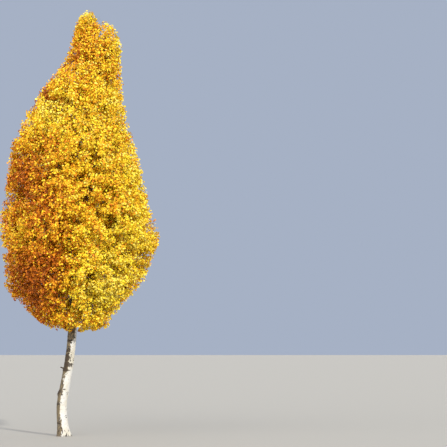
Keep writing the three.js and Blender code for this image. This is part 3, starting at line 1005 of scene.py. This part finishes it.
def add_bough_collars(skin, relief):
    """Adds the swelling where each bough leaves the trunk."""
    collar_width, collar_height = BOUGH_COLLAR
    for bough in BOUGHS:
        places, radii = spine(bough)
        away = places[0] - trunk_axis(places[0, 2])
        across = skin.from_turn(math.atan2(away[1], away[0]))
        near = np.hypot(across, skin.z - places[0, 2]) / (collar_width * radii[0])
        relief += collar_height * radii[0] * np.exp(-(near**2))


def dark_patches(skin):
    """How far each place lies in a patch of cracked dark bark, from 0 to 1."""
    patched = np.zeros_like(skin.z)
    uneven = 0.4 * lumps(skin.points, 0.05, 83)
    ragged = 0.2 * lumps(skin.points, 0.018, 84)
    for height, turn, width, tall in DARK_PATCHES:
        u = skin.from_turn(math.radians(turn)) / width
        near = np.hypot(u, (skin.z - height) / tall) + uneven + ragged
        np.maximum(patched, smooth(1.25, 0.5, near), out=patched)
    return patched


def weathering_and_shade(skin):
    """How far each place lies on the side darkened by weather and by painted shade, from 0 to 1,
    past a ragged edge.
    """
    edge = np.interp(skin.z, WEATHERED_AND_SHADE_HEIGHTS, WEATHERED_AND_SHADE_EDGES)
    lean = np.cos(skin.angle - math.radians(WEATHERED_AND_SHADE_TURN)) - edge
    lean += 0.2 * lumps(skin.points * (1, 1, 0.5), 0.09, 85) + 0.16 * lumps(skin.points, 0.028, 86)
    return smooth(-0.14, 0.24, lean)


def bark_relief(z, angle):
    """How far the trunk's bark stands out, how scarred and cracked it is, and how far it is
    darkened by weather and by painted shade.
    """
    skin = Skin(z, angle)
    points = skin.points
    relief = SWELL * lumps(points * (1, 1, 0.6), 0.16, 71) + SMALL_SWELL * lumps(points, 0.045, 72)
    scarred = np.zeros_like(z)
    add_eye_scars(skin, relief, scarred)
    add_stubs(skin, relief, scarred)
    add_bough_collars(skin, relief)
    patched, weathered_and_shaded = dark_patches(skin), weathering_and_shade(skin)
    furrowed = smooth(FURROWS_TOP, 0.03, z + 0.1 * lumps(points, 0.12, 76))
    ridges = 1 - np.abs(lumps(points * (1, 1, 0.22), 0.03, 77)) * 2
    coarse = 1 - np.abs(lumps(points * (1, 1, 0.4), 0.022, 87)) * 3
    relief += furrowed * FURROW * ridges + CRACK * np.maximum(patched, 0.45 * weathered_and_shaded) * coarse
    cracked = np.maximum(furrowed * smooth(0.3, -0.3, ridges), patched)
    wrinkles = np.sin(z * 2 * np.pi / WRINKLE_STEP + 2.5 * lumps(points, 0.07, 78))
    bends = smooth(0.1, 0.9, lumps(points * (0.7, 0.7, 1), 0.3, 79))
    relief += WRINKLE * wrinkles * bends * (1 - furrowed)
    return relief, scarred, cracked, weathered_and_shaded


def only(piece):
    """Deselects everything, then selects one piece and makes it the active one."""
    bpy.ops.object.select_all(action="DESELECT")
    piece.select_set(True)
    bpy.context.view_layer.objects.active = piece


def points_of(piece):
    points = np.empty(len(piece.data.vertices) * 3)
    piece.data.vertices.foreach_get("co", points)
    return points.reshape(-1, 3)


def normals_of(piece):
    normals = np.empty(len(piece.data.vertices) * 3)
    piece.data.vertices.foreach_get("normal", normals)
    return normals.reshape(-1, 3)


def set_points(piece, points):
    piece.data.vertices.foreach_set("co", points.astype(np.float32).ravel())
    piece.data.update()


def set_masks(piece, scarred, cracked, weathered_and_shaded):
    """Numbers at the vertices, for the material to read. Each is one for all or one for each."""
    for name, values in (("scarred", scarred), ("cracked", cracked), ("weathered_and_shaded", weathered_and_shaded)):
        mask = piece.data.attributes.new(name, "FLOAT", "POINT")
        mask.data.foreach_set("value", np.full(len(mask.data), values, np.float32))


def raised_cylinder():
    """A cylinder of one metre's height and radius, drawn up ring by ring and divided finer."""
    bpy.ops.object.select_all(action="DESELECT")
    ring = 1 / TRUNK_RINGS
    bpy.ops.mesh.primitive_cylinder_add(
        vertices=TRUNK_SIDES, radius=1, depth=ring, end_fill_type="NGON", location=(0, 0, ring / 2)
    )
    cylinder = bpy.context.object
    bpy.ops.object.transform_apply(location=True)
    bpy.ops.object.mode_set(mode="EDIT")
    bpy.ops.mesh.select_mode(type="FACE")
    bpy.ops.mesh.select_all(action="DESELECT")
    bpy.ops.object.mode_set(mode="OBJECT")
    for face in cylinder.data.polygons:
        face.select = face.normal.z > 0.9
    bpy.ops.object.mode_set(mode="EDIT")
    for _ in range(TRUNK_RINGS - 1):
        bpy.ops.mesh.extrude_region_move(TRANSFORM_OT_translate={"value": (0, 0, ring)})
    bpy.ops.object.mode_set(mode="OBJECT")
    finer = cylinder.modifiers.new("finer", "SUBSURF")
    finer.subdivision_type = "SIMPLE"
    finer.levels = finer.render_levels = TRUNK_LEVELS
    bpy.ops.object.modifier_apply(modifier=finer.name)
    return cylinder


def make_trunk():
    """The trunk: a raised cylinder, whose points are moved on to the scarred bark."""
    trunk = raised_cylinder()
    trunk.name = "trunk_bark"
    points = points_of(trunk)
    climb = np.clip(points[:, 2], 0, 1)
    z = EVEN_HEIGHT * climb + (TRUNK_TOP - EVEN_HEIGHT) * climb**4
    angle = np.arctan2(points[:, 1], points[:, 0])
    # The sides' flats are taken out, so that every point of a ring lies equally far from its middle
    sector = 2 * np.pi / TRUNK_SIDES
    flat = np.cos(sector / 2) / np.cos(angle % sector - sector / 2)
    inward = np.minimum(np.hypot(points[:, 0], points[:, 1]) / flat, 1)
    on_side = (climb > 1e-4) & (climb < 1 - 1e-4)
    inward[on_side | (inward > 0.999)] = 1
    relief, scarred, cracked, weathered_and_shaded = bark_relief(z, angle)
    radius = inward * (flared_radius(z, angle) + relief)
    level = np.stack([np.cos(angle), np.sin(angle), np.zeros_like(angle)], axis=-1)
    set_points(trunk, trunk_axis(z) + level * radius[:, None])
    set_masks(trunk, scarred, cracked, weathered_and_shaded)
    bpy.ops.object.shade_smooth()
    return trunk


def make_dead_stub(bark):
    """The short dead stub on the trunk's left side, with a broken end."""
    height, turn, length, radius, end_radius = DEAD_STUB
    turn = math.radians(turn)
    climbing = np.array((math.cos(turn), math.sin(turn), 0.25))
    direction = climbing / np.linalg.norm(climbing)
    root = trunk_axis(height) + direction * (flared_radius(height, turn) - DEAD_STUB_ROOT)
    length += DEAD_STUB_ROOT
    share = np.linspace(0, 1, 9)[:, None]
    path = root + direction * share * length + UP * DEAD_STUB_RISE * share**2
    stub = joined_tubes("dead_stub", [(path[None], (radius, end_radius), 12)])
    points = points_of(stub)
    centre = path[np.argmin(np.linalg.norm(points[:, None] - path[None], axis=-1), axis=1)]
    points += (points - centre) * DEAD_STUB_UNEVEN * lumps(points, 0.014, 81)[:, None]
    far = smooth(0.8, 1, (points - root) @ direction / length)
    points += direction * (far * DEAD_STUB_SPLINTERS * lumps(points, 0.009, 82))[:, None]
    set_points(stub, points)
    # The stub is dark all over, as bark darkened by weather and as painted shade on the trunk's
    # shaded side
    set_masks(stub, mix(0.5, 1, far), 0.6, 1)
    dress(stub, bark, "trunk_bark")
    return stub


# Boughs: their sides, the step between rings, how deep their roots lie in the trunk, how much
# thicker they are where they leave it, and how far swells of two sizes and scars stand out
BOUGH_SIDES = 12
BOUGH_RING = 0.024
BOUGH_ROOT = 0.03
BOUGH_THICKENING = 0.5
BOUGH_SWELL = 0.0022
BOUGH_SMALL_SWELL = 0.0009
BOUGH_SCAR = 0.002


def bough_path(bough):
    """A bough's points, from just inside the trunk to just inside its mass, and its radii."""
    curve = bough["curve"]
    fine = np.linspace(0, 1, 400)
    places = curve.at(fine)
    away = np.linalg.norm(places - trunk_axis(places[:, 2]), axis=1)
    begin = fine[np.argmax(away > trunk_radius(places[:, 2]) - BOUGH_ROOT)]
    length = np.linalg.norm(np.diff(places, axis=0), axis=1).sum()
    count = max(8, int(length * (1 - begin) / BOUGH_RING))
    share = np.linspace(begin, 1, count)
    places = curve.at(share)
    out = np.linalg.norm(places - trunk_axis(places[:, 2]), axis=1) - trunk_radius(places[:, 2])
    radius = mix(bough["radius"], BOUGH_TIP_RADIUS, share)
    thickening = BOUGH_THICKENING * np.exp(-np.maximum(out, 0) / (1.3 * radius))
    return places, radius * (1 + thickening)


def make_boughs():
    """The boughs: bevelled curves with a collar at the trunk, made a mesh with its relief."""
    line = bpy.data.curves.new("boughs_bark", "CURVE")
    line.dimensions = "3D"
    line.bevel_depth = 1
    line.bevel_resolution = BOUGH_SIDES // 2 - 2
    line.use_fill_caps = True
    for bough in BOUGHS:
        places, radii = bough_path(bough)
        spline = line.splines.new("POLY")
        spline.points.add(len(places) - 1)
        spline.points.foreach_set("co", np.c_[places, np.ones(len(places))].ravel())
        spline.points.foreach_set("radius", radii)
    boughs = bpy.data.objects.new("boughs_bark", line)
    bpy.context.scene.collection.objects.link(boughs)
    only(boughs)
    bpy.ops.object.convert(target="MESH")
    boughs = bpy.context.object
    points, normals = points_of(boughs), normals_of(boughs)
    scarred = smooth(0.45, 0.75, lumps(points * (1, 1, 1.5), 0.075, 91))
    relief = BOUGH_SWELL * lumps(points, 0.05, 92) + BOUGH_SMALL_SWELL * lumps(points, 0.016, 93)
    relief += BOUGH_SCAR * scarred
    set_points(boughs, points + normals * relief[:, None])
    # On the boughs that mask is seeded weathering only, with no painted shade
    set_masks(boughs, scarred, 0, smooth(0.1, 0.5, lumps(points, 0.3, 94)))
    bpy.ops.object.shade_smooth()
    return boughs


class Amount:
    """A number socket, so that shader maths reads as plain expressions."""

    def __init__(self, finish, socket):
        self.finish, self.socket = finish, socket

    def maths(self, operation, *others):
        return self.finish.node("ShaderNodeMath", {"operation": operation}, dict(enumerate(others)))

    def __add__(self, other):
        return self.maths("ADD", self, other)

    def __sub__(self, other):
        return self.maths("SUBTRACT", self, other)

    def __rsub__(self, other):
        return self.maths("SUBTRACT", other, self)

    def __mul__(self, other):
        return self.maths("MULTIPLY", self, other)

    def above(self, low, high):
        """0 at low and 1 at high, with a soft rise between them."""
        settings = {"interpolation_type": "SMOOTHSTEP"}
        return self.finish.node("ShaderNodeMapRange", settings, {0: self, 1: low, 2: high})

    def larger(self, other):
        return self.maths("MAXIMUM", self, other)

    __radd__, __rmul__ = __add__, __mul__


def linear(red, green, blue):
    """A screen colour, 0 to 255, as the linear colour that a shader takes."""
    shares = (value / 255 for value in (red, green, blue))
    return (*(s / 12.92 if s <= 0.04045 else ((s + 0.055) / 1.055) ** 2.4 for s in shares), 1.0)


class Finish:
    """One material: its nodes, and the shader that they end in."""

    def __init__(self, name, colour, roughness):
        self.material = bpy.data.materials.new(name)
        self.material.use_nodes = True
        self.tree = self.material.node_tree
        self.shader = self.tree.nodes["Principled BSDF"]
        self.shader.inputs["Base Color"].default_value = colour
        self.shader.inputs["Roughness"].default_value = roughness
        self.material.diffuse_color = colour

    def node(self, kind, settings, sockets, output=0):
        """A node with its settings and its sockets' values or links. It gives an output socket."""
        node = self.tree.nodes.new(kind)
        for key, value in settings.items():
            setattr(node, key, value)
        for key, value in sockets.items():
            if isinstance(value, Amount):
                self.tree.links.new(value.socket, node.inputs[key])
            else:
                node.inputs[key].default_value = value
        return Amount(self, node.outputs[output])

    def place(self, stretch):
        """Object coordinates, stretched along each axis."""
        middle = self.node("ShaderNodeTexCoord", {}, {}, "Object")
        return self.node("ShaderNodeMapping", {}, {"Vector": middle, "Scale": stretch})

    def grain(self, stretch, size, detail, roughness=0.5):
        """Noise from 0 to 1 whose lumps have one size in metres, stretched along each axis."""
        sockets = {
            "Vector": self.place(stretch),
            "Scale": 1 / size,
            "Detail": detail,
            "Roughness": roughness,
        }
        return self.node("ShaderNodeTexNoise", {}, sockets, "Fac")

    def mask(self, name):
        return self.node("ShaderNodeAttribute", {"attribute_name": name}, {}, "Fac")

    def tint(self, share, under, over):
        """A colour between two others. Each is a colour or a link."""
        settings = {"data_type": "RGBA"}
        return self.node("ShaderNodeMix", settings, {0: share, 6: under, 7: over}, 2)

    def feed(self, name, value):
        self.tree.links.new(value.socket, self.shader.inputs[name])

    def bump(self, height, distance, strength=1.0):
        sockets = {"Height": height, "Distance": distance, "Strength": strength}
        self.feed("Normal", self.node("ShaderNodeBump", {}, sockets))


CREAM = linear(208, 206, 200)
WARM_CREAM = linear(200, 194, 178)
GREY_CREAM = linear(160, 152, 134)
# Dark brown and grey of the bark darkened by weather, which also stand for painted shade and the
# crown's painted shadow on the trunk
WEATHERED_AND_SHADE_BROWN = linear(60, 45, 25)
WEATHERED_AND_SHADE_GREY = linear(118, 100, 62)
SCAR_DARK = linear(34, 28, 22)
CRACK_DARK = linear(58, 46, 34)
LENTICEL = linear(74, 60, 46)
TWIG_OLIVE = linear(146, 128, 90)
TWIG_GREY = linear(112, 102, 82)


def bark_finish(name):
    """Pale smooth bark with scars and lenticels, cracked in patches, and darkened on one side and
    just under the crown by weather and by painted shade and shadow.
    """
    finish = Finish(name, CREAM, 0.7)
    warm = finish.grain((1, 1, 0.5), 0.17, 3).above(0.42, 0.62)
    grey = finish.grain((1, 1, 1.4), 0.06, 5, 0.6).above(0.52, 0.7)
    colour = finish.tint(warm, CREAM, WARM_CREAM)
    colour = finish.tint(grey * 0.55, colour, GREY_CREAM)
    worn = finish.grain((1, 1, 0.35), 0.03, 5, 0.65)
    # Darker bark on one side from weather and as painted shade away from the key light, and most of
    # the way round just under the crown as the crown's painted shadow
    side = (finish.mask("weathered_and_shaded") + (worn - 0.5) * 1.5).above(0.34, 0.72)
    worn = worn.above(0.4, 0.62)
    weathered_and_shaded_bark = finish.tint(worn, WEATHERED_AND_SHADE_BROWN, WEATHERED_AND_SHADE_GREY)
    colour = finish.tint(side * 0.92, colour, weathered_and_shaded_bark)
    dashes = finish.grain((1, 1, 7.5), 0.034, 2)
    spread = finish.grain((1, 1, 1), 0.12, 2).above(0.38, 0.6)
    dash = dashes.above(0.64, 0.7) * spread
    colour = finish.tint(dash * 0.8, colour, LENTICEL)
    rough = finish.grain((1, 1, 1), 0.013, 4, 0.7)
    scar = (finish.mask("scarred") + (rough - 0.5) * 0.9).above(0.42, 0.66)
    colour = finish.tint(scar, colour, SCAR_DARK)
    broken = finish.grain((1, 1, 0.55), 0.022, 5, 0.7)
    cracks = (finish.mask("cracked") + (broken - 0.5) * 2.2).above(0.4, 0.68)
    colour = finish.tint(cracks * 0.9, colour, CRACK_DARK)
    finish.feed("Base Color", colour)
    coarse = scar.larger(cracks).larger(side * 0.5)
    finish.feed("Roughness", 0.62 + coarse * 0.28)
    height = dash * 0.5 + grey * 0.25 + rough * (0.25 + coarse * 1.3)
    finish.bump(height, 0.004, 0.8)
    return finish.material


def twig_finish(name):
    """Thin smooth twig bark, olive to grey."""
    finish = Finish(name, TWIG_OLIVE, 0.75)
    patches = finish.grain((1, 1, 0.4), 0.06, 4, 0.6).above(0.4, 0.62)
    finish.feed("Base Color", finish.tint(patches, TWIG_OLIVE, TWIG_GREY))
    return finish.material


# Leaf tints, warmest first: name, screen colour, and the material slot for it
LEAF_TINTS = [
    ("russet", (172, 90, 16), "leaves_amber"),
    ("rust", (204, 118, 20), "leaves_amber"),
    ("amber", (224, 146, 26), "leaves_amber"),
    ("deep_gold", (236, 176, 32), "leaves_gold"),
    ("gold", (240, 196, 38), "leaves_gold"),
    ("bright_gold", (241, 209, 44), "leaves_gold"),
    ("yellow", (241, 218, 52), "leaves_yellow"),
    ("pale_yellow", (246, 226, 96), "leaves_yellow"),
]
LEAF_SHEEN = 0.2
# A spray is brighter to the right, partly as its own yellower tint and partly as painted light on
# the side that the key light falls on and painted shade on the left; and brighter in clumps, by the
# patches below and by chance
YELLOWER_AND_SUNLIT_RIGHT = 0.22
BRIGHT_CLUMPS = 0.42
SMALL_CLUMPS = 0.3
BRIGHT_PATCHES = 1.1
BRIGHT_CHANCE = 0.95
# The share of the sprays that are no brighter than each tint but the last
TINT_STEPS = (0.045, 0.12, 0.24, 0.41, 0.6, 0.78, 0.93)
# Patches of the crown that have turned further or less far, and darker patches of painted shade low
# on the left and in its recesses: middle, radius, and how much brighter
TURNED_AND_SHADED_PATCHES = [
    ((-0.95, -1.0, 6.25), 0.75, -1.9),
    # the lower left: deeper tints as painted shade
    ((-0.75, -0.9, 3.7), 0.9, -2.1),
    ((0.3, -0.3, 9.6), 0.55, -0.9),
    ((0.41, 0.0, 10.9), 0.28, 1.4),
    ((0.95, 0.0, 10.6), 0.25, 1.2),
    ((1.2, 0.0, 10.1), 0.25, 1.0),
    ((0.35, -0.9, 6.9), 0.6, 0.7),
    ((1.2, -0.5, 8.4), 0.75, 0.9),
    ((-0.3, -0.85, 8.1), 0.6, 1.6),
    ((1.55, -0.6, 6.5), 0.6, 0.9),
    ((1.75, -0.7, 5.1), 0.65, 0.7),
    ((0.95, -0.9, 3.8), 0.8, 1.5),
    ((-0.75, -0.3, 8.75), 0.5, -1.1),
    # two recesses: deeper tints as painted shade
    ((-0.4, -1.3, 5.35), 0.45, -1.5),
    ((-0.15, -1.4, 4.25), 0.5, -1.5),
    ((-1.0, -1.0, 5.2), 0.4, 0.7),
]


def leaf_tints(points):
    """The index of each spray's tint: by its place, with painted light and shade, by clumps, and a
    little by chance.
    """
    rng = np.random.default_rng(51)
    bright = YELLOWER_AND_SUNLIT_RIGHT * points[:, 0] + BRIGHT_CLUMPS * lumps(points, 0.7, 52)
    bright += SMALL_CLUMPS * lumps(points, 0.28, 53)
    bright += rng.normal(0, BRIGHT_CHANCE, len(points))
    for middle, radius, amount in TURNED_AND_SHADED_PATCHES:
        near = np.linalg.norm(points - np.array(middle), axis=1) / radius
        bright += BRIGHT_PATCHES * amount * np.exp(-(near**2))
    steps = np.quantile(bright, TINT_STEPS)
    return np.searchsorted(steps, bright)


FOLIAGE_NODES = [f"foliage_{mass['name']}" for mass in masses]
BOUGH_NODES = [f"bough_{mass['name']}" for mass in masses if mass["bough"]]


def dress(piece, material, slot, *nodes):
    """Gives a piece its finish, and lets it stand for its solids. Its slot is not used."""
    piece.data.materials.clear()
    piece.data.materials.append(material)
    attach(piece, "root")
    if nodes:
        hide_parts(*nodes)


def make_foliage():
    """The twigs and the leaves of every mass."""
    stems, twigs, branchlets, shoots = grow_wood()
    groups = [(stems, STEM_RADII, 8), (twigs, TWIG_RADII, 6), (branchlets, BRANCHLET_RADII, 3)]
    twig_bark = twig_finish("twig_bark")
    for piece in (joined_tubes("twigs", groups), joined_spikes("shoots", shoots, SHOOT_RADIUS)):
        dress(piece, twig_bark, "bough_bark", *FOLIAGE_NODES)
    leaves, sprays, spray_places = grow_leaves(shoots)
    tints = leaf_tints(spray_places)[sprays]
    blades = np.array([(0, 1, 2, 3), (0, 3, 4, 5)])
    stalk = np.array([(6, 7, 0)])
    corners = leaves.shape[1]
    for index, (name, colour, slot) in enumerate(LEAF_TINTS):
        chosen = leaves[tints == index]
        first = corners * np.arange(len(chosen))[:, None, None]
        faces = [(first + blades).reshape(-1, 4), (first + stalk).reshape(-1, 3)]
        piece = mesh_piece(f"leaves_{name}", chosen.reshape(-1, 3), faces)
        finish = Finish(f"leaf_{name}", linear(*colour), 0.55)
        finish.shader.inputs["Specular IOR Level"].default_value = LEAF_SHEEN
        dress(piece, finish.material, slot, *FOLIAGE_NODES)


FLOOR_RADIUS = 600
ROOM_LIGHT = 1.25
CAMERA_LENS = 77.96
CAMERA_TILT = 97.5
CAMERA_SIGHT = 500
# Lights: name, strength, how wide each is in degrees, colour, and the way that it shines
LIGHTS = [
    ("key", 2.7, 3, (1.0, 0.96, 0.88), (-0.62, 0.68, -0.52)),
    ("fill", 2.85, 90, (1.0, 0.94, 0.84), (0.5, 0.8, -0.3)),
    ("sky", 1.4, 180, (1.0, 0.98, 0.96), (0.0, -0.2, -1.0)),
]


def make_studio():
    """A plain pale floor and plain soft light, mainly from the right and the front."""
    bpy.ops.object.select_all(action="DESELECT")
    bpy.ops.mesh.primitive_circle_add(
        vertices=96, radius=FLOOR_RADIUS, fill_type="NGON", location=(0, 0, 0)
    )
    floor = bpy.context.object
    floor.name = "floor"
    floor.data.materials.append(Finish("floor", linear(158, 155, 148), 0.9).material)
    world = bpy.data.worlds.new("pale_room")
    bpy.context.scene.world = world
    world.use_nodes = True
    background = world.node_tree.nodes["Background"]
    background.inputs["Color"].default_value = linear(150, 160, 178)
    background.inputs["Strength"].default_value = ROOM_LIGHT
    for name, energy, spread, colour, towards in LIGHTS:
        light = bpy.data.objects.new(name, bpy.data.lights.new(name, "SUN"))
        light.data.energy = energy
        light.data.angle = math.radians(spread)
        light.data.color = colour
        light.rotation_euler = Vector(towards).to_track_quat("-Z", "Y").to_euler()
        bpy.context.scene.collection.objects.link(light)


def make_camera():
    """The camera at the photograph's viewing angle, with the tree on the left of its frame."""
    camera = bpy.data.objects.new("camera", bpy.data.cameras.new("camera"))
    camera.data.sensor_width = 36
    camera.data.lens = CAMERA_LENS
    camera.data.clip_end = CAMERA_SIGHT
    camera.location = CAMERA_PLACE
    camera.rotation_euler = (math.radians(CAMERA_TILT), 0, 0)
    bpy.context.scene.collection.objects.link(camera)
    bpy.context.scene.camera = camera


make_camera()
make_studio()
trunk_bark = bark_finish("trunk_bark")
dress(make_trunk(), trunk_bark, "trunk_bark", "trunk")
make_dead_stub(trunk_bark)
dress(make_boughs(), bark_finish("bough_bark"), "bough_bark", *BOUGH_NODES)
make_foliage()
bpy.context.scene.view_settings.view_transform = "Standard"
